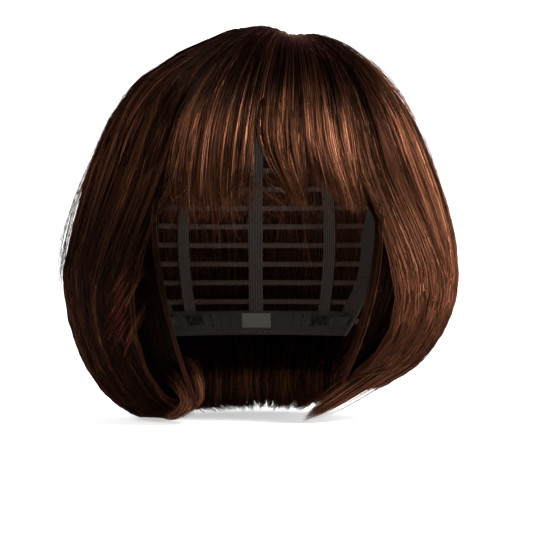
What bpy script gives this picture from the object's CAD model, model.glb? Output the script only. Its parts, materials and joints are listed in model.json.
"""Costume wig: the looks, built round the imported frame.

Blender works in metres. The hair is worked out in millimetres, from a direction psi (an angle from
the front, positive towards the wearer's left), a step s from root to tip, and a depth d under the
hair's surface, and its points are scaled by MM when they become a mesh.
"""
import json
import math

import bpy
import numpy as np
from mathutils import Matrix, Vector


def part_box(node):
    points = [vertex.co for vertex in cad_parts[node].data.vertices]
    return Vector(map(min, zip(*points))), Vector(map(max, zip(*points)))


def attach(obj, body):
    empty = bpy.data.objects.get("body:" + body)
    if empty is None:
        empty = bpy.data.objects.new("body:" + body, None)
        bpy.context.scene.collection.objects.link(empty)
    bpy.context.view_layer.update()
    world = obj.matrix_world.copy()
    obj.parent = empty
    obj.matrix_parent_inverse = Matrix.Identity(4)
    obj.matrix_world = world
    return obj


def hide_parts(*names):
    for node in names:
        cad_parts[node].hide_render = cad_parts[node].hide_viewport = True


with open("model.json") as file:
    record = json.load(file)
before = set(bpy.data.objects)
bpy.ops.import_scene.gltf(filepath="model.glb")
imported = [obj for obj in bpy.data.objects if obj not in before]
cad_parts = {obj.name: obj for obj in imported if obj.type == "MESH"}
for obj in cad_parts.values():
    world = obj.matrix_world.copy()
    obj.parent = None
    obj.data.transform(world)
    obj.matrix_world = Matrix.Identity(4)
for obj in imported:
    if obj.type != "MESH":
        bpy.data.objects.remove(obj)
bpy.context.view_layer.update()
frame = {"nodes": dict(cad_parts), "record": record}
RNG = np.random.default_rng(20)
MM = 0.001  # a millimetre in metres

# ---- the hair's form, as in the solids ----------------------------------------------------
HALF = 118.0  # half width at the widest level
HALF_Y = 124.2  # and half depth
MIDDLE_Y = -2.5  # where the dome's middle is, front to back
WIDE_Z = 89.0  # height of the widest level
RISE = 147.0  # from there to the crown
WHORL = (18.0, -4.0)
FRINGE = (-34.0, 30.5)  # degrees from the front, towards the wearer's left
ROLL = 56.0  # how far the hair turns under
CURL = 17.0  # radius of the tips' curl inside the roll
HEAD = (78.0, 98.0, 112.0)  # half sizes of the head form
HEAD_AT = (0.0, -8.0, 110.0)  # its middle
NECK = (56.0, 70.4)  # half sizes of the opening round the neck
FACE_TOP = 133.0  # height where the face opening ends at the temples
FLOOR = 0.5  # no hair goes lower
DRAWN_POINTS = 40  # points along a strand while it is shaped
MESH_POINTS = 12  # points along it in the mesh
MOST_STRANDS = 2600  # in one piece


def smooth(t):
    """Rises from 0 to 1 as t does, and stays level outside."""
    t = np.clip(t, 0.0, 1.0)
    return t * t * (3 - 2 * t)


def bump(t, middle, width):
    """1 at the middle, fading to nothing about two widths away."""
    return np.exp(-(((t - middle) / width) ** 2))


def unit(v):
    return v / np.maximum(np.linalg.norm(v, axis=-1, keepdims=True), 1e-9)


# ---- camera, floor, lights ------------------------------------------------------------------
def add_camera():
    data = bpy.data.cameras.new("camera")
    data.lens, data.sensor_width = 180.0, 36.0
    data.clip_end = 20.0
    camera = bpy.data.objects.new("camera", data)
    yaw, away = math.radians(2.3), 1.6
    target = Vector((0.0033, 0.0, 0.0909))
    camera.location = target - away * Vector((math.sin(yaw), math.cos(yaw), 0.0))
    camera.rotation_euler = (math.radians(90), 0.0, -yaw)
    bpy.context.scene.collection.objects.link(camera)
    bpy.context.scene.camera = camera


def area_light(name, at, aim, size, watts):
    data = bpy.data.lights.new(name, "AREA")
    data.shape, data.size, data.size_y = "RECTANGLE", size[0], size[1]
    data.energy = watts
    light = bpy.data.objects.new(name, data)
    light.location = at
    light.rotation_euler = (Vector(aim) - Vector(at)).to_track_quat("-Z", "Y").to_euler()
    bpy.context.scene.collection.objects.link(light)


def add_lights():
    aim = (0.0, 0.0, 0.12)
    area_light("key", (0.92, -0.9, 1.32), aim, (0.6, 0.6), 62.0)
    area_light("front", (-0.4, -1.8, 0.5), aim, (0.8, 0.8), 5.0)
    area_light("rim_right", (1.25, -0.15, 0.6), aim, (0.5, 1.2), 26.0)
    area_light("left", (-1.4, -0.1, 1.05), aim, (0.5, 0.8), 14.0)
    world = bpy.data.worlds.new("studio")
    world.use_nodes = True
    background = world.node_tree.nodes["Background"]
    background.inputs["Color"].default_value = (1, 1, 1, 1)
    background.inputs["Strength"].default_value = 0.14
    bpy.context.scene.world = world
    bpy.context.scene.view_settings.view_transform = "Standard"


def mesh_object(name, verts, faces, material):
    mesh = bpy.data.meshes.new(name)
    mesh.from_pydata(verts, [], faces)
    mesh.validate()
    mesh.polygons.foreach_set("use_smooth", [True] * len(mesh.polygons))
    mesh.materials.append(material)
    obj = bpy.data.objects.new(name, mesh)
    bpy.context.scene.collection.objects.link(obj)
    return obj


def add_floor():
    """A pale floor that turns up into a backdrop, with no edge in sight."""
    mat, shader = new_material("studio_paper", roughness=0.9)
    shader.inputs["Base Color"].default_value = (0.93, 0.93, 0.93, 1)
    shader.inputs["Emission Color"].default_value = (1, 1, 1, 1)
    shader.inputs["Emission Strength"].default_value = 0.5
    flat_to, bend = 1.2, 0.9
    turns = np.linspace(0.1, math.pi / 2, 14)
    profile = [(-3.0, 0.0), (flat_to, 0.0)]
    profile += [(flat_to + bend * math.sin(t), bend - bend * math.cos(t)) for t in turns]
    profile += [(flat_to + bend, 3.5)]
    verts = [(x, y, z) for y, z in profile for x in (-4.0, 4.0)]
    faces = [(2 * i, 2 * i + 1, 2 * i + 3, 2 * i + 2) for i in range(len(profile) - 1)]
    floor = mesh_object("floor", verts, faces, mat)
    floor.location.z = -0.3 * MM


# ---- materials -------------------------------------------------------------------------------
def new_material(name, roughness=0.6):
    mat = bpy.data.materials.new(name)
    mat.use_nodes = True
    shader = mat.node_tree.nodes["Principled BSDF"]
    shader.inputs["Roughness"].default_value = roughness
    return mat, shader


def ramp(nodes, stops):
    node = nodes.new("ShaderNodeValToRGB")
    elements = node.color_ramp.elements
    while len(elements) < len(stops):
        elements.new(0.5)
    for element, (at, colour) in zip(elements, stops):
        element.position, element.color = at, (*colour, 1)
    return node


def hair_material():
    """Fibre colour: U is the strand's own tone, V runs from root to tip."""
    mat, shader = new_material("hair_fibre", roughness=0.36)
    nodes, links = mat.node_tree.nodes, mat.node_tree.links
    uv = nodes.new("ShaderNodeUVMap")
    uv.uv_map = "OFBake"
    split = nodes.new("ShaderNodeSeparateXYZ")
    tone = ramp(
        nodes,
        [
            (0.0, (0.004, 0.0019, 0.0013)),
            (0.4, (0.05, 0.018, 0.009)),
            (0.7, (0.17, 0.062, 0.032)),
            (1.0, (0.48, 0.21, 0.125)),
        ],
    )
    along = ramp(
        nodes,
        [
            (0.0, (0.14, 0.14, 0.14)),
            (0.2, (0.3, 0.29, 0.29)),
            (0.42, (1, 1, 1)),
            (0.85, (1.05, 1.02, 1.0)),
            (1.0, (0.85, 0.82, 0.8)),
        ],
    )
    mix = nodes.new("ShaderNodeMix")
    mix.data_type, mix.blend_type = "RGBA", "MULTIPLY"
    mix.inputs["Factor"].default_value = 1.0
    links.new(uv.outputs["UV"], split.inputs["Vector"])
    links.new(split.outputs["X"], tone.inputs["Fac"])
    links.new(split.outputs["Y"], along.inputs["Fac"])
    links.new(tone.outputs["Color"], mix.inputs["A"])
    links.new(along.outputs["Color"], mix.inputs["B"])
    links.new(mix.outputs["Result"], shader.inputs["Base Color"])
    shader.inputs["Metallic"].default_value = 0.85
    shader.inputs["Specular IOR Level"].default_value = 0.2
    shader.inputs["Specular Tint"].default_value = (0.62, 0.36, 0.24, 1)
    return mat


def core_material():
    mat, shader = new_material("hair_depth", roughness=0.8)
    nodes, links = mat.node_tree.nodes, mat.node_tree.links
    coords = nodes.new("ShaderNodeTexCoord")
    scale = nodes.new("ShaderNodeMapping")
    scale.inputs["Scale"].default_value = (900, 900, 30)
    noise = nodes.new("ShaderNodeTexNoise")
    noise.inputs["Scale"].default_value = 1.0
    tone = ramp(nodes, [(0.3, (0.004, 0.002, 0.0015)), (0.7, (0.012, 0.006, 0.004))])
    links.new(coords.outputs["Object"], scale.inputs["Vector"])
    links.new(scale.outputs["Vector"], noise.inputs["Vector"])
    links.new(noise.outputs["Fac"], tone.inputs["Fac"])
    links.new(tone.outputs["Color"], shader.inputs["Base Color"])
    shader.inputs["Specular IOR Level"].default_value = 0.0
    return mat


def cap_coordinates(nodes, links):
    """Millimetres round the cap and up it, as two sockets."""
    coords = nodes.new("ShaderNodeTexCoord")
    split = nodes.new("ShaderNodeSeparateXYZ")
    links.new(coords.outputs["Object"], split.inputs["Vector"])
    behind = maths(nodes, links, "ADD", split.outputs["Y"], -HEAD_AT[1] * MM)
    angle = maths(nodes, links, "ARCTAN2", split.outputs["X"], behind)
    around = maths(nodes, links, "MULTIPLY", angle, 88.0)
    return around, maths(nodes, links, "MULTIPLY", split.outputs["Z"], 1000.0)


def maths(nodes, links, operation, first, second=None):
    node = nodes.new("ShaderNodeMath")
    node.operation = operation
    for socket, value in zip(node.inputs, (first, second)):
        if isinstance(value, (int, float)):
            socket.default_value = value
        elif value is not None:
            links.new(value, socket)
    return node.outputs["Value"]


def ridges(nodes, links, value, pitch):
    """A wave from -1 to 1 along a value, once every pitch."""
    return maths(nodes, links, "SINE", maths(nodes, links, "MULTIPLY", value, 2 * math.pi / pitch))


def woven(name, dark, light, weave, bump_height=0.12, roughness=0.75, fuzz=0.12, sheen=0.0):
    """Cloth whose threads come from weave(nodes, links, around, up), a value from -1 to 1."""
    mat, shader = new_material(name, roughness)
    nodes, links = mat.node_tree.nodes, mat.node_tree.links
    around, up = cap_coordinates(nodes, links)
    threads = weave(nodes, links, around, up)
    noise = nodes.new("ShaderNodeTexNoise")
    coords = nodes.new("ShaderNodeTexCoord")
    noise.inputs["Scale"].default_value = 380.0
    noise.inputs["Detail"].default_value = 4.0
    links.new(coords.outputs["Object"], noise.inputs["Vector"])
    uneven = maths(nodes, links, "SUBTRACT", noise.outputs["Fac"], 0.5)
    worn = maths(nodes, links, "MULTIPLY", uneven, 4 * fuzz)
    height = maths(nodes, links, "ADD", maths(nodes, links, "MULTIPLY", threads, 0.5), 0.5)
    shade = ramp(nodes, [(0.15, dark), (0.85, light)])
    links.new(maths(nodes, links, "ADD", height, worn), shade.inputs["Fac"])
    links.new(shade.outputs["Color"], shader.inputs["Base Color"])
    relief = nodes.new("ShaderNodeBump")
    relief.inputs["Strength"].default_value = 0.6
    relief.inputs["Distance"].default_value = bump_height * MM
    links.new(height, relief.inputs["Height"])
    links.new(relief.outputs["Normal"], shader.inputs["Normal"])
    rough = nodes.new("ShaderNodeMapRange")
    rough.inputs["To Min"].default_value = max(0.05, roughness - 0.12)
    rough.inputs["To Max"].default_value = min(1.0, roughness + 0.12)
    links.new(noise.outputs["Fac"], rough.inputs["Value"])
    links.new(rough.outputs["Result"], shader.inputs["Roughness"])
    shader.inputs["Sheen Weight"].default_value = sheen
    return mat


def plain_weave(pitch):
    def weave(nodes, links, around, up):
        warp, fill = ridges(nodes, links, around, pitch), ridges(nodes, links, up, pitch)
        return maths(nodes, links, "MULTIPLY", warp, fill)

    return weave


def twill_weave(pitch):
    def weave(nodes, links, around, up):
        return ridges(nodes, links, maths(nodes, links, "ADD", around, up), pitch)

    return weave


def ribbing(pitch, cross):
    """Ridges up the cloth, crossed by finer ones."""
    def weave(nodes, links, around, up):
        main = maths(nodes, links, "MULTIPLY", ridges(nodes, links, around, pitch), 0.75)
        fine = maths(nodes, links, "MULTIPLY", ridges(nodes, links, up, cross), 0.25)
        return maths(nodes, links, "ADD", main, fine)

    return weave


def cap_materials():
    """One material for each of the record's slots that the cap's nodes wear."""
    plain, twill = plain_weave, twill_weave
    return {
        "cap_cloth": woven("cap_cloth", (0.016, 0.011, 0.009), (0.07, 0.052, 0.044), plain(1.5)),
        "elastic": woven("rib_elastic", (0.02, 0.014, 0.012), (0.09, 0.068, 0.058), ribbing(1.5, 0.8), 0.2),
        "weft_tape": woven(
            "weft_track", (0.016, 0.008, 0.005), (0.1, 0.05, 0.032), ribbing(1.1, 1.6), 0.3, 0.55
        ),
        "scalp_patch": woven("scalp_cloth", (0.3, 0.18, 0.12), (0.44, 0.29, 0.2), plain(1.0), 0.06, 0.8),
        "lining": woven(
            "lining_plush", (0.035, 0.022, 0.018), (0.1, 0.07, 0.058), plain(0.9), 0.1, 0.9, 0.5, 0.4
        ),
        "label": woven(
            "label_satin", (0.15, 0.135, 0.118), (0.22, 0.205, 0.18), ribbing(0.9, 0.6), 0.04, 0.45
        ),
        "stay": woven("stay_cover", (0.03, 0.03, 0.032), (0.09, 0.09, 0.095), twill(1.2), 0.05, 0.6),
        "tape": woven("twill_tape", (0.014, 0.011, 0.01), (0.075, 0.06, 0.052), twill(1.2), 0.15),
        "strap": woven("strap_elastic", (0.014, 0.011, 0.01), (0.08, 0.065, 0.058), ribbing(1.6, 0.9), 0.2),
        "hook": woven(
            "hook_plastic", (0.012, 0.011, 0.011), (0.035, 0.03, 0.028), plain(6.0), 0.01, 0.3, 0.35
        ),
    }


def slot_of(node):
    """The record's material slot for a CAD node of the cap."""
    for start, slot in (
        ("rib", "elastic"), ("weft", "weft_tape"), ("tab_weft", "weft_tape"),
        ("crown_patch", "scalp_patch"), ("forehead", "lining"), ("size_label", "label"),
        ("ear_stay", "stay"), ("loop_tape", "tape"), ("strap_keeper", "tape"),
        ("adjuster_strap", "strap"), ("adjuster_hook", "hook"),
    ):
        if node.startswith(start):
            return slot
    return "cap_cloth"


# ---- stitching and the hair seen inside the cap ------------------------------------------------
def on_head(points, offset):
    """Points moved along their own direction to the head form grown by an offset."""
    rel = points - np.array(HEAD_AT)
    size = np.array(HEAD) + offset
    return np.array(HEAD_AT) + rel / np.linalg.norm(rel / size, axis=-1, keepdims=True)


def level_ring(z, offset, angles):
    """Points at one height of the head form, by angle from the middle of the back."""
    share = math.sqrt(max(0.0, 1 - ((z - HEAD_AT[2]) / (HEAD[2] + offset)) ** 2))
    return np.stack([
        (HEAD[0] + offset) * share * np.sin(angles),
        HEAD_AT[1] + (HEAD[1] + offset) * share * np.cos(angles),
        np.full(angles.shape, z),
    ], -1)


def dashes(line, long=2.4, gap=1.3):
    """A seam cut into stitches."""
    run = np.concatenate([[0], np.cumsum(np.linalg.norm(np.diff(line, axis=0), axis=1))])
    starts = np.arange(0.5, run[-1] - long, long + gap)
    at = starts[:, None] + np.linspace(0, long, 4)
    return np.stack([np.interp(at, run, line[:, axis]) for axis in range(3)], -1)


def thread_mesh(name, paths, radius, material, body="cap", rings=4):
    n = len(paths)
    piece = tube_mesh(name, paths, np.full(n, radius), np.full(n, 0.5), material, rings)
    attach(piece, body)
    return piece


def box_mm(node):
    return (np.array(corner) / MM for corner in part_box(node))


def build_stitches(material):
    """Seams on the ribs and the nape band, and the zigzag that fastens each weft."""
    seams = []
    for number in range(1, 10):
        low, high = box_mm(f"rib_{number:02d}")
        middle = (low + high) / 2 - np.array(HEAD_AT)
        out = unit(np.array([middle[0], middle[1], 0.0]))
        along = np.array([-out[1], out[0], 0.0])
        z = np.linspace(low[2] + 1.5, min(high[2], 181.0), 60)
        for side in (-3.2, 3.2):
            line = np.array(HEAD_AT) + out * 70 + along * side + np.zeros((60, 3))
            line[:, 2] = z
            for _ in range(4):
                line = keep_height(on_head(line, -0.1), z)
            seams.append(dashes(line))
    low, high = box_mm("nape_band")
    top_seam = high[2] - 22.5 if high[2] - low[2] > 30 else high[2] - 2.0
    for z in (low[2] + 2.0, top_seam):
        seams.append(dashes(level_ring(z, -0.1, np.radians(np.linspace(-40, 40, 160)))))
    thread_mesh("seam_stitches", np.concatenate(seams), 0.16, material)
    zigzags, on_track = [], 1.32
    for number in range(1, 14):
        low, high = box_mm(f"weft_{number:02d}")
        z = (low[2] + high[2]) / 2
        angles = np.radians(np.linspace(-180, 180, 420))
        ring = level_ring(z, on_track, angles)
        ring = ring[ring[:, 1] > low[1] + 2]
        share = np.arange(len(ring)) % 2
        points = keep_height(ring, z + 1.1 * (2 * share - 1))
        points = keep_height(on_head(points, on_track), points[:, 2])
        pairs = np.stack([points[:-1], points[1:]], 1)
        pairs = pairs[np.linalg.norm(pairs[:, 0] - pairs[:, 1], axis=1) < 12]
        zigzags.append(pairs)
    thread_mesh("weft_stitches", np.concatenate(zigzags), 0.13, material, rings=3)


def keep_height(points, z):
    points = points.copy()
    points[:, 2] = z
    return points


def build_strap_stitches(material):
    """Rows of stitching where each strap is sewn to its hook and at its free end."""
    joints = frame["record"]["behaviour"]["joints"]
    for side, sign in (("left", 1), ("right", -1)):
        joint = next(j for j in joints if j["name"] == f"adjuster_{side}_slide")
        pivot = np.array(joint["pos_m"]) / MM
        low, high = box_mm(f"adjuster_strap_{side}")
        corner = np.array([sign * np.abs([low[0], high[0]]).max(), low[1]]) - pivot[:2]
        reach = np.hypot(*corner) - 2.2
        last = math.degrees(math.atan2(sign * corner[0], corner[1]))
        middle = (low[2] + high[2]) / 2
        rows = []
        for start in (last - 20.0, last - 4.5):
            for step in (0.0, 1.4, 2.8):
                angle = np.radians(start + step)
                z = np.linspace(middle - 2.0, middle + 2.0, 12)
                x = sign * reach * math.sin(angle) + 0 * z
                y = pivot[1] + reach * math.cos(angle) + 0 * z
                rows.append(dashes(np.stack([x, y, z], -1), 0.9, 0.5))
        rows = np.concatenate(rows)
        thread_mesh(f"strap_stitches_{side}", rows, 0.12, material, f"adjuster_{side}")


def lining_hair(material):
    """Hair that hangs from the wefts, as the inside of the cap shows it between the rows."""
    n, top = 2500, 214.0
    angle = RNG.uniform(-np.pi, np.pi, n)
    front = np.abs(angle) > np.radians(112)
    low = np.where(front, 172.0, np.where(np.abs(angle) > np.radians(62), 132.0, 52.0))
    z = top + (low - top)[:, None] * SHARE
    share = np.sqrt(1 - ((z - HEAD_AT[2]) / (HEAD[2] + 3.2)) ** 2)
    turn = angle[:, None] + np.radians(1.2) * np.sin(2 * np.pi * (SHARE * 3 + RNG.random((n, 1))))
    off = 3.25 + 0.25 * np.sin(2 * np.pi * (SHARE * 5 + RNG.random((n, 1))))
    paths = np.stack([
        (HEAD[0] + off) * share * np.sin(turn),
        HEAD_AT[1] + (HEAD[1] + off) * share * np.cos(turn),
        z,
    ], -1)
    radii = RNG.uniform(0.2, 0.3, n)
    tones = np.clip(RNG.normal(0.3, 0.14, n), 0, 1)
    piece = tube_mesh("strands_lining", paths, radii, tones, material)
    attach(piece, "cap")


# ---- strand paths ----------------------------------------------------------------------------
def lift_at(psi):
    """How far the roll's lowest level stands above the floor, by direction."""
    side = np.sin(psi)
    away = np.abs(np.degrees(psi))
    left = 15.0 * smooth(side / 0.5) * smooth((168 - away) / 70) + 4.0 * bump(side, 0.75, 0.2) * (away < 90)
    near_face = 9.0 * smooth((46 - away) / 24)
    return np.where(side > 0, left, 0.0) + near_face


def roll_at(psi):
    """How far the hair turns under, by direction."""
    side = np.sin(psi)
    away = np.abs(np.degrees(psi))
    return ROLL + np.where(side > 0, 12.0 * smooth(side / 0.5) * smooth((168 - away) / 70), 0.0)


def front_draw(z):
    """The side hair falls back to the cheeks below the fringe: its share of the dome's depth."""
    from_z = 156.0
    u = np.maximum(0.0, (from_z - z) / from_z)
    return 1 - 0.42 * (u - 0.08 * (1 - np.exp(-u / 0.08)))


def face_drift(psi, z, back):
    """The direction of low hair near the face: under layers lean in along the jaw, and top
    locks (back = 1) fall away from it."""
    away = np.abs(psi)
    towards = np.pi / 2 - (np.pi / 2 - away) * (1 + 0.19 * np.clip((130 - z) / 119, 0, 1))
    towards = np.where(away < np.pi / 2, towards, away)
    most = np.where(psi > 0, 18.0, 14.0)
    behind = away + np.radians(most) * bump(np.degrees(away), 42, 24) * smooth((158 - z) / 105)
    return np.sign(psi) * (towards + (behind - towards) * back)


def dome_height(s):
    return WIDE_Z + RISE * np.cos(np.clip(s, 0, 1) * np.pi / 2)


def on_dome(psi, s, d, back):
    """A point between the whorl and the widest level, before the face draws it in."""
    k = np.sin(np.clip(s, 0, 1) * np.pi / 2)
    turned = face_drift(psi, dome_height(s), back)
    x = WHORL[0] * (1 - k) + HALF * np.sin(turned) * k
    y = (WHORL[1] - MIDDLE_Y) * (1 - k) - HALF_Y * np.cos(turned) * k
    up = np.sqrt(np.maximum(0.0, 1 - (x / HALF) ** 2 - (y / HALF_Y) ** 2))
    z = WIDE_Z + RISE * up
    dip = 5.5 * bump(x, WHORL[0], 9.0) * bump(y, WHORL[1], 26.0)
    normal = unit(np.stack([x / HALF**2, y / HALF_Y**2, up / RISE], -1))
    slim = 1 - 0.042 * bump(up, 0.45, 0.28) - 0.02 * (x < 0) * bump(up, 0.2, 0.25)
    full = (1.0 * bump(x, 45, 20) - 4.2 * bump(x, -45, 28)) * smooth((up - 0.6) / 0.3)
    return np.stack([x * slim, y * slim, z + full], -1) - normal * (d + dip)[..., None]


def in_roll(psi, s, d, back):
    """A point below the widest level, where the hair turns under and its tips curl up."""
    alpha = np.clip(s - 1, 0, 1) * np.pi / 2
    beta = np.clip(s - 2, 0, 1) * np.pi / 2
    roll, lift = roll_at(psi), lift_at(psi)
    foot = HALF - roll
    radius = foot + (roll - d) * np.cos(alpha) - CURL * np.sin(beta)
    z = WIDE_Z - (WIDE_Z - lift - d) * np.sin(alpha) + 0.75 * CURL * (1 - np.cos(beta))
    turned = face_drift(psi, z, back)
    return np.stack([radius * np.sin(turned), -radius * HALF_Y / HALF * np.cos(turned), z], -1)


def place(psi, s, d, back=0.0):
    """A point of the hair. psi is the direction from the front, s runs 0 at the whorl, 1 at the
    widest level, 2 at the roll's lowest and on into the curl; d is the depth under the surface."""
    point = np.where((s > 1)[..., None], in_roll(psi, s, d, back), on_dome(psi, s, d, back))
    drawn = np.where(point[..., 1] < 0, front_draw(point[..., 2]), 1.0)
    is_fringe = smooth((np.radians(36) - np.abs(psi)) / np.radians(4))
    drawn = drawn + (1 - drawn) * is_fringe
    point[..., 1] = point[..., 1] * drawn + MIDDLE_Y
    return point


def resample(paths, count):
    """Each strand's points, spaced evenly along it."""
    steps = np.linalg.norm(np.diff(paths, axis=1), axis=2)
    run = np.concatenate([np.zeros((len(paths), 1)), np.cumsum(steps, axis=1)], axis=1)
    out = np.empty((len(paths), count, 3))
    want = np.linspace(0, 1, count)
    for i in range(len(paths)):
        at = want * run[i, -1]
        for axis in range(3):
            out[i, :, axis] = np.interp(at, run[i], paths[i, :, axis])
    return out


SHARE = np.linspace(0, 1, DRAWN_POINTS)[None, :]


def wave_of(turns):
    return np.sin(2 * np.pi * turns)


def strands(psi, s0, s1, d, clump, sway=0.6, sink=2.5, pull=0.6, back=0.0):
    """Paths from s0 to s1. clump gives each strand's lock, whose members draw together."""
    s = s0[:, None] + (s1 - s0)[:, None] * SHARE
    q = SHARE
    p = np.repeat(psi[:, None], s.shape[1], 1)
    depth = np.repeat(d[:, None], s.shape[1], 1)
    ids, c_psi, c_d, c_wave = clump
    gather = pull * smooth((q - 0.25) / 0.75)
    p = p + (c_psi[ids][:, None] - p) * gather
    depth = depth + (c_d[ids][:, None] - depth) * gather
    wave = c_wave[ids]
    p = p + np.radians(sway) * wave_of(wave[:, :1] * q * 1.6 + wave[:, 1:2]) * q
    depth = depth + 1.0 * wave_of(wave[:, 2:3] * q * 2 + wave[:, 3:4])
    own = RNG.random((len(psi), 3))
    p = p + np.radians(0.25) * wave_of(q * (1 + 2 * own[:, :1]) + own[:, 1:2]) * q
    depth = depth + sink * np.exp(-q / 0.06) + 0.3 * wave_of(q * 3 * own[:, 2:] + own[:, 1:2])
    near_whorl = 0.25 + 0.75 * smooth(s / 0.5)
    return place(p, s, np.maximum(depth, -0.8) * near_whorl, back)


def tone_shift(points):
    """The hair's darker and lighter regions, as a change of tone."""
    x, y, z = points[..., 0], points[..., 1], points[..., 2]
    front = smooth((30 - y) / 40)
    right_side = smooth((-x - 35) / 30) * (0.27 * smooth((150 - z) / 50) + 0.03)
    roots = (0.24 * smooth((z - 172) / 34) + 0.1 * smooth((z - 212) / 10)) * bump(x, 14, 44)
    left_low = 0.26 * smooth((x - 45) / 20) * smooth((74 - z) / 35)
    streaks = 0.3 * bump(x, -30, 24) * smooth((z - 165) / 20)
    return -roots - front * (right_side + left_low + streaks)


def tube_mesh(name, paths, radii, tones, material, rings=MESH_POINTS):
    """One closed, tapering three-sided tube per strand, all in one mesh."""
    pts = resample(paths, rings) * MM
    n, k = pts.shape[:2]
    tangent = unit(np.gradient(pts, axis=1))
    ref = unit(np.cross(tangent, np.array([0.31, 0.23, 0.92])))
    other = np.cross(tangent, ref)
    along = np.linspace(0, 1, k)
    taper = np.minimum(1, 0.55 + along * 5) * np.clip((1.02 - along) / 0.22, 0.12, 1)
    angles = RNG.random(n) * 2 * np.pi
    verts = np.empty((n, k, 3, 3))
    for side in range(3):
        a = (angles + side * 2 * np.pi / 3)[:, None, None]
        offset = ref * np.cos(a) + other * np.sin(a)
        verts[:, :, side] = pts + offset * (radii[:, None, None] * MM * taper[None, :, None])
    base = (np.arange(n) * k * 3)[:, None, None]
    ring = (np.arange(k - 1) * 3)[None, :, None]
    side = np.arange(3)[None, None, :]
    nxt = (side + 1) % 3
    first = base + ring
    quads = np.stack([first + side, first + nxt, first + 3 + nxt, first + 3 + side], -1)
    quads = quads.reshape(n, -1, 4)
    last_ring = (k - 1) * 3
    caps = np.array([[2, 1, 0], [last_ring, last_ring + 1, last_ring + 2]])[None] + base
    loops = np.concatenate([quads.reshape(n, -1), caps.reshape(n, -1)], 1)
    per = quads.shape[1]
    sizes = np.tile(np.array([4] * per + [3, 3]), n)
    mesh = bpy.data.meshes.new(name)
    mesh.vertices.add(n * k * 3)
    mesh.vertices.foreach_set("co", verts.astype(np.float32).ravel())
    mesh.loops.add(loops.size)
    mesh.loops.foreach_set("vertex_index", loops.astype(np.int32).ravel())
    mesh.polygons.add(len(sizes))
    mesh.polygons.foreach_set("loop_start", np.concatenate([[0], np.cumsum(sizes)[:-1]]).astype(np.int32))
    mesh.update(calc_edges=True)
    mesh.polygons.foreach_set("use_smooth", np.ones(len(sizes), bool))
    v_ring = along[None, :, None] * np.ones((n, 1, 3))
    tone = np.clip(tones[:, None] + tone_shift(pts / MM), 0.0, 1.0)
    u_ring = tone[..., None] * 0.97 + 0.012 + 0.003 * np.arange(3) / 3
    uv = np.stack([u_ring, v_ring * 0.98 + 0.01], -1).reshape(-1, 2)[loops.ravel()]
    layer = mesh.uv_layers.new(name="OFBake")
    layer.data.foreach_set("uv", uv.astype(np.float32).ravel())
    mesh.validate()
    mesh.materials.append(material)
    obj = bpy.data.objects.new(name, mesh)
    bpy.context.scene.collection.objects.link(obj)
    return obj


# ---- the hair's inner side -----------------------------------------------------------------------
def face_half(z):
    """Half width of the face opening at a height."""
    widest_z = 125.0
    low = np.clip(z, 0, widest_z)
    return 33.0 + 30.0 * np.sin(low / widest_z * np.pi / 2) ** 0.9


def inner_reach(psi, z, gap=3.7):
    """How far out from the middle the hair's inner side is, in a direction and at a height."""
    draw = np.where(np.cos(psi) > 0, front_draw(z), 1.0)
    out_x, out_y = np.sin(psi), -HALF_Y / HALF * np.cos(psi) * draw

    def to_ellipse(a, b):
        from_y = MIDDLE_Y - HEAD_AT[1]
        qa = (out_x / a) ** 2 + (out_y / b) ** 2
        qb = 2 * from_y * out_y / b**2
        qc = (from_y / b) ** 2 - 1
        return (-qb + np.sqrt(np.maximum(qb**2 - 4 * qa * qc, 0))) / (2 * qa)

    share = np.sqrt(np.maximum(1 - ((z - HEAD_AT[2]) / (HEAD[2] + gap)) ** 2, 1e-4))
    reach = to_ellipse((HEAD[0] + gap) * share, (HEAD[1] + gap) * share)
    reach = np.where(z < HEAD_AT[2], np.maximum(reach, to_ellipse(*NECK)), reach)
    wall = face_half(z) / np.maximum(np.abs(out_x), 0.05)
    in_face = (MIDDLE_Y + wall * out_y < -22) & (z < 131)
    return np.where(in_face, np.maximum(reach, wall), reach)


def place_inner(psi, z, off):
    """A point of the hair's inner side, moved outward by off."""
    turned = face_drift(psi, z, 0.0)
    reach = inner_reach(turned, z) + off
    draw = np.where(np.cos(turned) > 0, front_draw(z), 1.0)
    y = MIDDLE_Y - reach * HALF_Y / HALF * np.cos(turned) * draw
    return np.stack([reach * np.sin(turned), y, z + 0 * reach], -1)


def clear_of_head(points, gap=3.5):
    """Points inside the cap are pushed out to its surface, and none goes under the floor."""
    centre, size = np.array(HEAD_AT), np.array(HEAD) + gap
    rel = (points - centre) / size
    inside = np.linalg.norm(rel, axis=-1, keepdims=True)
    pushed = centre + (points - centre) / np.maximum(inside, 0.3)
    points = np.where((inside < 1) & (points[..., 2:] > 60), pushed, points)
    points[..., 2] = np.maximum(points[..., 2], FLOOR)
    return points


# ---- hair ------------------------------------------------------------------------------------
def clear_of_face(points, seed, room=0.0):
    """Side hair pushed out of the face opening, so that it bunches along the cheek, and low
    hair pushed out of the opening round the neck."""
    own = np.random.default_rng(seed).random((len(points), 1))
    edge = room + face_half(points[..., 2]) + 2.5 * own
    x, y, z = points[..., 0], points[..., 1], points[..., 2]
    ahead = smooth((-18 - y) / 8) * smooth((FACE_TOP - z) / 8)
    over = np.maximum(edge - np.abs(x), 0)
    points[..., 0] = x + np.sign(x) * over * ahead
    middle = np.array(HEAD_AT[:2])
    rel = (points[..., :2] - middle) / (np.array(NECK) + 1.5)
    reach = np.maximum(np.linalg.norm(rel, axis=-1), 0.2)
    out = np.where((reach < 1) & (z < 100) & (y > -40), 1 / reach, 1.0)[..., None]
    points[..., :2] = middle + (points[..., :2] - middle) * out
    return points


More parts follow.
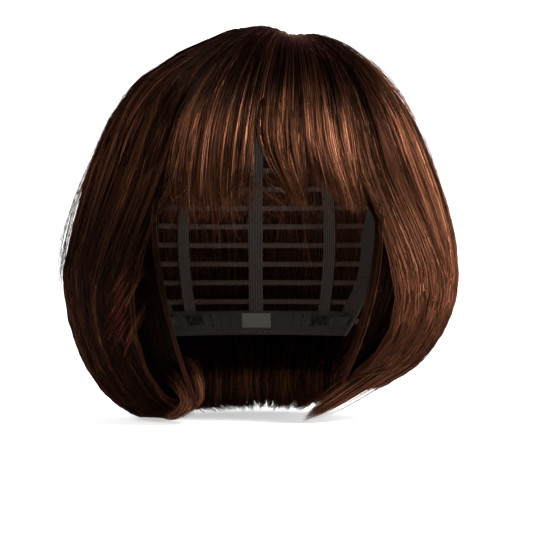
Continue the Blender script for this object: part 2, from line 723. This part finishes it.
def clumps(count, psi_low, psi_high, d_low, d_high):
    """Locks: the direction and depth of each, and numbers for its waves."""
    c_psi = RNG.uniform(psi_low, psi_high, count)
    c_psi = np.where(c_psi > np.pi, c_psi - 2 * np.pi, c_psi)
    c_d = RNG.uniform(d_low, d_high, count)
    return c_psi, c_d, RNG.random((count, 4))


def wisps(count, each, size=4):
    """Strands in locks, and in wisps of a few strands within each lock: the lock and wisp of each."""
    ids = np.repeat(np.arange(count), each)
    return ids, np.arange(len(ids)) // size


def spread_by(wisp, wide, fine=0.28):
    """Offsets that neighbours in a wisp nearly share."""
    return RNG.normal(0, wide, wisp[-1] + 1)[wisp] + RNG.normal(0, wide * fine, len(wisp))


def tones_for(ids, count, wisp, base, spread=0.1, contrast=0.14):
    """Each strand's tone, from its lock's, its wisp's and its own. One wisp in ten is brighter."""
    bright = 0.22 * (RNG.random(wisp[-1] + 1) < 0.1)[wisp]
    lock = RNG.normal(0, spread, count)[ids]
    return np.clip(base + lock + bright + spread_by(wisp, contrast, 0.4), 0.02, 0.98)


def outer_hair():
    """Locks from the whorl over the dome and down into the roll, all round but the fringe."""
    count, each = 840, 28
    low, high = np.radians(FRINGE)
    c_psi, c_d, wave = clumps(count, high, 2 * np.pi + low, 0.3, 4.5)
    c_root = RNG.uniform(0.03, 0.8, count)
    ids, wisp = wisps(count, each)
    psi = c_psi[ids] + spread_by(wisp, np.radians(1.6))
    s0 = np.clip(c_root[ids] + spread_by(wisp, 0.04), 0.02, 0.9)
    s1 = np.clip(RNG.normal(2.3, 0.12, count)[ids] + spread_by(wisp, 0.06, 0.5), 1.9, 2.8)
    d = np.clip(c_d[ids] + spread_by(wisp, 0.8), 0, 6)
    paths = strands(psi, s0, s1, d, (ids, c_psi, c_d, wave), back=0.95)
    base = np.where(psi < 0, 0.3, 0.44)
    return clear_of_face(paths, 3), psi, tones_for(ids, count, wisp, base)


def cheek_hair():
    """The darker under layer between the top locks and the cheeks."""
    count, each = 330, 24
    c_psi, c_d, wave = clumps(count, 0.0, 1.0, 5.0, 13.0)
    side = np.where(np.arange(count) % 2, 1, -1)
    c_d = c_d + np.where(c_psi < 0.6, 12.0 * RNG.random(count) ** 1.5 * smooth(c_psi / 0.3), 0.0)
    c_psi = np.radians(31 + 53 * c_psi**1.7) * side
    ids, wisp = wisps(count, each)
    psi = c_psi[ids] + spread_by(wisp, np.radians(1.5))
    psi = np.sign(psi) * np.maximum(np.abs(psi), np.radians(30.5))
    s0 = RNG.uniform(0.35, 0.7, count)[ids]
    s1 = np.clip(RNG.normal(2.25, 0.16, count)[ids] + spread_by(wisp, 0.06, 0.5), 1.9, 2.8)
    d = np.clip(c_d[ids] + spread_by(wisp, 0.9), 4.5, 26)
    paths = strands(psi, s0, s1, d, (ids, c_psi, c_d, wave), sway=1.2)
    return clear_of_face(paths, 4), psi, tones_for(ids, count, wisp, 0.08, spread=0.06, contrast=0.08)


def under_hair():
    """Hair inside the roll, seen from below and at the tips."""
    count, each = 250, 16
    c_psi, c_d, wave = clumps(count, np.radians(48), 2 * np.pi - np.radians(48), 5, 26)
    ids, wisp = wisps(count, each)
    n = len(ids)
    psi = c_psi[ids] + spread_by(wisp, np.radians(1.8))
    s1 = np.clip(RNG.normal(2.1, 0.14, count)[ids] + spread_by(wisp, 0.07, 0.5), 1.7, 2.6)
    d = np.clip(c_d[ids] + spread_by(wisp, 1.4), 4, 28)
    paths = strands(psi, np.full(n, 1.3), s1, d, (ids, c_psi, c_d, wave), sink=0)
    return clear_of_face(paths, 5), psi, tones_for(ids, count, wisp, 0.14)


def inner_hair():
    """Hair against the neck and along the edges of the face opening."""
    count, each = 300, 18
    c_psi = RNG.uniform(np.radians(33), 2 * np.pi - np.radians(33), count)
    c_psi = np.where(c_psi > np.pi, c_psi - 2 * np.pi, c_psi)
    ids, wisp = wisps(count, each)
    n = len(ids)
    psi = c_psi[ids] + spread_by(wisp, np.radians(2.0), 0.3)
    away = np.abs(np.degrees(psi))
    psi = np.sign(psi) * np.radians(np.maximum(away, 33))
    rim = np.interp(away, [33, 50, 70, 85, 110, 130, 180], [165, 140, 100, 118, 100, 60, 52])
    top = rim + RNG.uniform(-2, 16, n)
    foot = lift_at(psi) + RNG.uniform(1.5, 9, n)
    off = RNG.uniform(0.2, 4.5, n)
    z = top[:, None] + (foot - top)[:, None] * SHARE
    p = psi[:, None] + (c_psi[ids] - psi)[:, None] * 0.5 * smooth(SHARE)
    p = p + np.radians(0.5) * np.sin(2 * np.pi * (SHARE * 2 + RNG.random((n, 1))))
    paths = place_inner(p, z, off[:, None] + 1.2 * np.sin(6 * SHARE + RNG.random((n, 1)) * 6))
    return clear_of_face(paths, 6), psi, tones_for(ids, count, wisp, 0.14)


# Fringe locks, across the forehead: where each starts and ends at brow height, where its tips
# come together, and how high its tips are from its first strand to its last.
FRINGE_LOCKS = (
    ((-64, -48), (-62, -47), (131, 130)),
    ((-48, -34), (-46, -31), (130, 128)),
    ((-34, -22), (-32, -17), (129, 127)),
    ((-22, -8.5), (-20, -10.5), (127, 134)),
    ((-7.5, 8), (14.5, 17.5), (131, 129)),
    ((8, 21), (16.0, 21), (129, 141)),
    ((21, 34), (22, 43), (143, 129)),
    ((34, 52), (41, 51.5), (127, 126)),
    ((52, 66), (54.5, 66), (126, 122)),
)
BROW_Z = 160.0  # where the locks are told apart
PART_Z = 168.0  # above this the fringe falls straight


def at_height(paths, heights, axis):
    """Each path's value on an axis where it passes a height."""
    return np.array([np.interp(-h, -path[:, 2], path[:, axis]) for path, h in zip(paths, heights)])


def cut_at(paths, heights):
    """Strands stopped where they reach a height."""
    out = np.empty_like(paths)
    want = SHARE[0]
    for i in range(len(paths)):
        at = want * np.interp(-heights[i], -paths[i, :, 2], want)
        for axis in range(3):
            out[i, :, axis] = np.interp(at, want, paths[i, :, axis])
    return out


def fringe_hair(count, each, deep, feather=1.0):
    low, high = np.radians(FRINGE)
    c_psi, c_d, wave = clumps(count, low, high, *deep)
    c_root = RNG.uniform(0.03, 0.6, count)
    ids, wisp = wisps(count, each)
    n = len(ids)
    psi = np.clip(c_psi[ids] + spread_by(wisp, np.radians(1.5)), low, high)
    s0 = np.clip(c_root[ids] + spread_by(wisp, 0.04), 0.02, 0.7)
    d = np.clip(c_d[ids] + spread_by(wisp, 0.8), 0, 10)
    full = strands(psi, s0, np.full(n, 0.995), d, (ids, c_psi, c_d, wave), sway=0.5, pull=0.3)
    across = at_height(full, np.full(n, BROW_Z), 0)
    tip_x, tip_z = across.copy(), np.full(n, 128.0)
    for (first, last), (x_first, x_last), (z_first, z_last) in FRINGE_LOCKS:
        share = (across - first) / (last - first)
        mine = (share >= 0) & (share < 1)
        drawn = share + 0.35 * (0.5 - share) * RNG.random(n)
        tip_x = np.where(mine, x_first + (x_last - x_first) * drawn, tip_x)
        tip_z = np.where(mine, z_first + (z_last - z_first) * share, tip_z)
    thinner = feather * (1.0 + 0.9 * smooth((-across - 5) / 25))
    ends = tip_z + thinner * (spread_by(wisp, 2.2, 0.5) + RNG.gamma(1.4, 4.0, n) - 4.5)
    paths = cut_at(full, ends)
    z = paths[:, :, 2]
    fall = np.clip((PART_Z - z) / (PART_Z - tip_z)[:, None], 0, 1.15) ** 1.5
    paths[:, :, 0] += (tip_x - across)[:, None] * fall
    paths[:, :, 1] += 3.0 * fall * fall
    own = RNG.random((n, 2))
    paths[:, :, 0] += (own[:, :1] - 0.5) * 3.0 * fall**3
    lit = -0.1 * bump(across, 4, 15) - 0.03 * smooth((across - 18) / 18)
    return paths, psi, tones_for(ids, count, wisp, 0.36 + lit)


def forehead_hair():
    """Single fine hairs that stray below the fringe."""
    n = 170
    x = np.concatenate([RNG.uniform(-58, 52, 90), RNG.normal(-12, 9, 50), RNG.normal(16, 8, 30)])
    top = RNG.uniform(134, 150, n)
    drop = RNG.gamma(3.0, 4.2, n) + 6
    lean = RNG.normal(0, 9, n) + np.where(np.abs(x) < 25, RNG.normal(0, 9, n), 0)
    curl = RNG.normal(0, 5, n)
    q = SHARE
    z = top[:, None] - drop[:, None] * q
    out = x[:, None] + lean[:, None] * q**2 + curl[:, None] * np.sin(np.pi * q * 1.4) * q
    y = MIDDLE_Y - HALF_Y * np.sqrt(np.maximum(0.05, 1 - (out / HALF) ** 2 - ((z - WIDE_Z) / RISE) ** 2))
    y = y + 4.5 + 3.0 * q + RNG.uniform(0, 3, (n, 1))
    return np.stack([out, y, z], -1), np.zeros(n), np.clip(RNG.normal(0.3, 0.12, n), 0, 1)


def along_knots(knots, widths, n, stop, squash=(1.0, 1.0, 1.0)):
    """Strands that follow a line of knots, spread round it by its widths."""
    knots, widths = np.array(knots, float), np.array(widths, float)
    spread = np.clip(RNG.normal(0, 0.55, (n, 3)), -1.1, 1.1) * np.array(squash)
    at = SHARE * (len(knots) - 1) * stop[:, None]
    steps = np.arange(len(knots))
    line = np.stack([np.interp(at, steps, knots[:, axis]) for axis in range(3)], -1)
    wide = np.interp(at, steps, widths)[..., None]
    paths = line + spread[:, None, :] * wide
    kernel = np.ones(11) / 11
    for axis in range(3):
        padded = np.pad(paths[:, :, axis], ((0, 0), (5, 5)), mode="reflect", reflect_type="odd")
        paths[:, :, axis] = np.apply_along_axis(lambda row: np.convolve(row, kernel, "valid"), 1, padded)
    return paths


def tail_hair():
    """The loose lock that leaves the wearer's left roll and sweeps forward to its point."""
    n = 420
    stop = RNG.uniform(0.72, 1.0, n)
    low = along_knots(
        [[94, -8, 54], [82, -22, 39], [66, -34, 29], [47, -45, 17], [35, -50, 9.5], [22.5, -54, 2.0]],
        [10.0, 8.0, 6.5, 5.5, 4.2, 1.2], n, stop,
    )
    high = along_knots(
        [[90, -16, 52], [78, -28, 38], [64, -38, 32], [52, -46, 29], [45, -50, 28]],
        [8.0, 7.0, 5.0, 3.0, 1.6], 150, RNG.uniform(0.75, 1.0, 150),
    )
    paths = np.concatenate([low, high])
    return paths, np.full(len(paths), np.radians(80)), np.clip(RNG.normal(0.55, 0.17, len(paths)), 0, 1)


def swirl_hair():
    """Thin reddish wisps that sweep back across the wearer's right cheek, and the swirl at its tips."""
    out = []
    for _ in range(26):
        x, z = RNG.uniform(-76, -66), RNG.uniform(66, 106)
        run, slope = RNG.uniform(26, 44), RNG.uniform(-0.75, -0.4)
        share = np.linspace(0, 1, 6)
        across, height = x + run * slope * share**0.85, z - run * share
        knots = [
            [px, surface_front(px, pz) - 0.4 + 1.5 * abs(2 * q - 1), pz]
            for px, pz, q in zip(across, height, share)
        ]
        widths = [1.6, 1.3, 1.1, 0.9, 0.7, 0.5]
        out.append(along_knots(knots, widths, 7, RNG.uniform(0.75, 1.0, 7), (1, 0.3, 1)))
    swirl = [[-55, -66, 30], [-47, -66, 22], [-44, -63, 13], [-50, -60, 5], [-60, -57, 3]]
    out.append(along_knots(swirl, [4.0, 3.6, 3.0, 2.4, 1.6], 120, RNG.uniform(0.8, 1.0, 120), (1, 0.7, 1)))
    swirl = [[-43, -64, 36], [-38, -62, 24], [-37, -60, 14], [-43, -57, 7]]
    out.append(along_knots(swirl, [3.0, 2.6, 2.0, 1.2], 80, RNG.uniform(0.8, 1.0, 80), (1, 0.7, 1)))
    paths = np.concatenate(out)
    return paths, np.full(len(paths), -np.radians(50)), np.clip(RNG.normal(0.55, 0.16, len(paths)), 0, 1)


def surface_front(x, z):
    """Y of the hair's outer surface in front of a point beside the face."""
    psi = np.radians(np.linspace(-88, -31, 90))
    steps = np.linspace(0.6, 1.98, 120)
    psi, steps = np.meshgrid(psi, steps, indexing="ij")
    grid = place(psi, steps, np.full(psi.shape, 0.3), 1.0)
    gap = (grid[..., 0] - x) ** 2 + (grid[..., 2] - z) ** 2
    return float(grid[..., 1].ravel()[np.argmin(gap)])


def fly_away():
    """Single hairs that stand off the surface."""
    n = 520
    psi = RNG.uniform(-np.pi, np.pi, n)
    psi = np.where(np.abs(psi) < np.radians(36), psi + np.pi / 2, psi)
    s0 = RNG.uniform(0.1, 1.4, n)
    s1 = s0 + RNG.uniform(0.25, 0.7, n)
    off = np.minimum(RNG.gamma(1.6, 1.2, n), 6)
    beside = np.arange(n) < 50  # stray hairs beside the wearer's right temple
    psi = np.where(beside, -np.radians(RNG.normal(88, 9, n)), psi)
    s0 = np.where(beside, RNG.uniform(0.55, 0.75, n), s0)
    s1 = np.where(beside, RNG.uniform(1.0, 1.15, n), s1)
    off = np.where(beside, RNG.uniform(2.0, 8.0, n), off)
    near_part = (np.arange(n) >= 90) & (np.arange(n) < 150)  # and over the wearer's left crown
    psi = np.where(near_part, np.radians(RNG.normal(88, 16, n)), psi)
    s0 = np.where(near_part, RNG.uniform(0.04, 0.25, n), s0)
    s1 = np.where(near_part, RNG.uniform(0.4, 0.62, n), s1)
    off = np.where(near_part, RNG.uniform(1.0, 4.2, n), off)
    s = s0[:, None] + (s1 - s0)[:, None] * SHARE
    p = psi[:, None] + np.radians(RNG.normal(0, 5, (n, 1))) * SHARE**2
    d = 1.0 - off[:, None] * np.sin(np.pi * SHARE * RNG.uniform(0.5, 0.95, (n, 1)))
    return place(p, s, d, 1.0), psi, np.clip(RNG.normal(0.5, 0.15, n), 0, 1)


def whorl_tuft():
    """Short hairs that stand up where the whorl parts."""
    n = 46
    root = np.stack([RNG.normal(24, 7, n), RNG.normal(-4, 7, n), np.full(n, 225.0)], -1)
    lean = np.stack([RNG.normal(5, 6, n), RNG.normal(0, 5, n), RNG.uniform(4, 9.5, n)], -1)
    bend = np.stack([RNG.normal(3, 3, n), RNG.normal(0, 3, n), -RNG.uniform(0, 3, n)], -1)
    q = SHARE[..., None]
    paths = root[:, None, :] + lean[:, None, :] * q + bend[:, None, :] * q**2
    return paths, np.zeros(n), np.clip(RNG.normal(0.3, 0.12, n), 0, 1)


def sections(psi):
    """Which section's strands each one belongs to."""
    deg = np.degrees((psi + np.pi) % (2 * np.pi) - np.pi)
    side = np.where(deg > 0, "left", "right")
    away = np.abs(deg)
    names = np.where(away < 112, "side_hair_", np.where(away < 148, "back_side_hair_", ""))
    names = np.where(away < 72, "temple_hair_", names)
    return np.where(names == "", "back_hair", np.char.add(names, side))


def add_strands(name, paths, tones, material, thick=(0.13, 0.24), nodes=()):
    """Strand meshes, each small enough to be kept whole."""
    parts = max(1, math.ceil(len(paths) / MOST_STRANDS))
    order = RNG.permutation(len(paths))
    for number, chosen in enumerate(np.array_split(order, parts), start=1):
        label = name if parts == 1 else f"{name}_{number}"
        radii = RNG.uniform(*thick, len(chosen))
        piece = tube_mesh(label, clear_of_head(paths[chosen]), radii, tones[chosen], material)
        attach(piece, "cap")
        if number == 1 and nodes:
            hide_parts(*nodes)


def build_hair(material):
    layers = (outer_hair(), cheek_hair(), under_hair(), inner_hair())
    paths, psi, tones = (np.concatenate(part) for part in zip(*layers))
    group = sections(psi)
    for section in sorted(set(group)):
        mask = group == section
        add_strands(f"strands_{section}", paths[mask], tones[mask], material, nodes=(section,))
    paths, psi, tones = fringe_hair(190, 27, (0.3, 3.5))
    add_strands("strands_fringe", paths, tones, material, nodes=("fringe", "crown_hair"))
    paths, psi, tones = fringe_hair(60, 16, (3.5, 7.0), feather=1.5)
    add_strands("strands_fringe_under", paths, tones * 0.7, material)
    paths, psi, tones = tail_hair()
    add_strands("strands_tail", paths, tones, material, nodes=("tail_lock",))
    paths, psi, tones = swirl_hair()
    add_strands("strands_swirl", paths, tones, material, thick=(0.12, 0.2))
    loose = (fly_away(), whorl_tuft(), forehead_hair())
    paths, psi, tones = (np.concatenate(part) for part in zip(*loose))
    add_strands("strands_loose", paths, tones, material, thick=(0.07, 0.12))


def core_ring(psi, foot, beside_face, full=1.0):
    """One upright slice of the core: down its outer side, then up its inner side.
    full is its share of the hair's thickness."""
    rows, inside_top = 30, 224.5
    s = np.linspace(0.02, 1.9, 400)
    depth = 5.6 + 8.0 * beside_face * smooth((150 - dome_height(s)) / 40)
    outer = place(np.full(s.shape, psi), s, depth)
    outer = outer[outer[:, 2] > foot]
    outer = outer[np.linspace(0, len(outer) - 1, rows).round().astype(int)]
    z = np.linspace(foot, inside_top, rows)
    inside = place_inner(np.full(rows, psi), z, 3.2 * smooth((150 - z) / 40) + 0.2)
    thin = np.linalg.norm(inside[:, :2], axis=1) > np.linalg.norm(outer[-1, :2]) - 1
    inside[thin & (z < foot + 30), :2] *= 0.985
    outer = clear_of_head(outer, 4.4)
    rising = outer[::-1]
    matching = np.stack([np.interp(z, rising[:, 2], rising[:, axis]) for axis in range(3)], -1)
    thinned = (smooth((165 - z) / 20) * (1 - max(full, 0.05)))[:, None]
    return np.concatenate([outer, inside + (matching - inside) * thinned])


def core_part(name, rings, material):
    """A closed solid from a row of slices, capped at both ends."""
    n, k = len(rings), len(rings[0])
    grid = np.array(rings) * MM
    faces = [
        (i * k + j, i * k + (j + 1) % k, (i + 1) * k + (j + 1) % k, (i + 1) * k + j)
        for i in range(n - 1)
        for j in range(k)
    ]
    for start, turn in ((0, -1), ((n - 1) * k, 1)):
        for j in range(k // 2 - 1):
            cap = (start + j, start + j + 1, start + k - 2 - j, start + k - 1 - j)
            faces.append(cap[::turn])
    core = mesh_object(name, grid.reshape(-1, 3).tolist(), faces, material)
    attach(core, "cap")


def build_core(material):
    """The dark depth under the strands: one shell under the fringe, one round the rest."""
    low, high = np.radians(FRINGE)
    front = [core_ring(psi, PART_Z, 0.0) for psi in np.linspace(low, high, 26)]
    core_part("hair_core_front", front, material)
    around, inset = [], np.radians(6)
    for psi in np.linspace(high + inset, 2 * np.pi + low - inset, 90):
        psi = psi if psi < np.pi else psi - 2 * np.pi
        away = abs(np.degrees(psi))
        foot = float(lift_at(np.array(psi)) + 12.0 - 4.5 * smooth((away - 80) / 30))
        beside_face, full = smooth((80 - away) / 20), smooth((away - 35) / 24)
        ring = core_ring(psi, foot, float(beside_face), float(full))
        around.append(clear_of_face(ring[None], 7, room=4.0)[0])
    core_part("hair_core_sides", around, material)


# ---- the scene ----------------------------------------------------------------------------------
add_camera()
add_floor()
add_lights()
hair = hair_material()
build_core(core_material())
build_hair(hair)

lining_hair(hair)
worn = cap_materials()
for name, node in frame["nodes"].items():
    if not ("hair" in name or name in ("fringe", "tail_lock")):
        for slot in node.material_slots:
            slot.material = worn[slot_of(name)]
thread = woven("sewing_thread", (0.09, 0.055, 0.04), (0.22, 0.15, 0.12), twill_weave(0.8), 0.05, 0.6)
build_stitches(thread)
build_strap_stitches(thread)
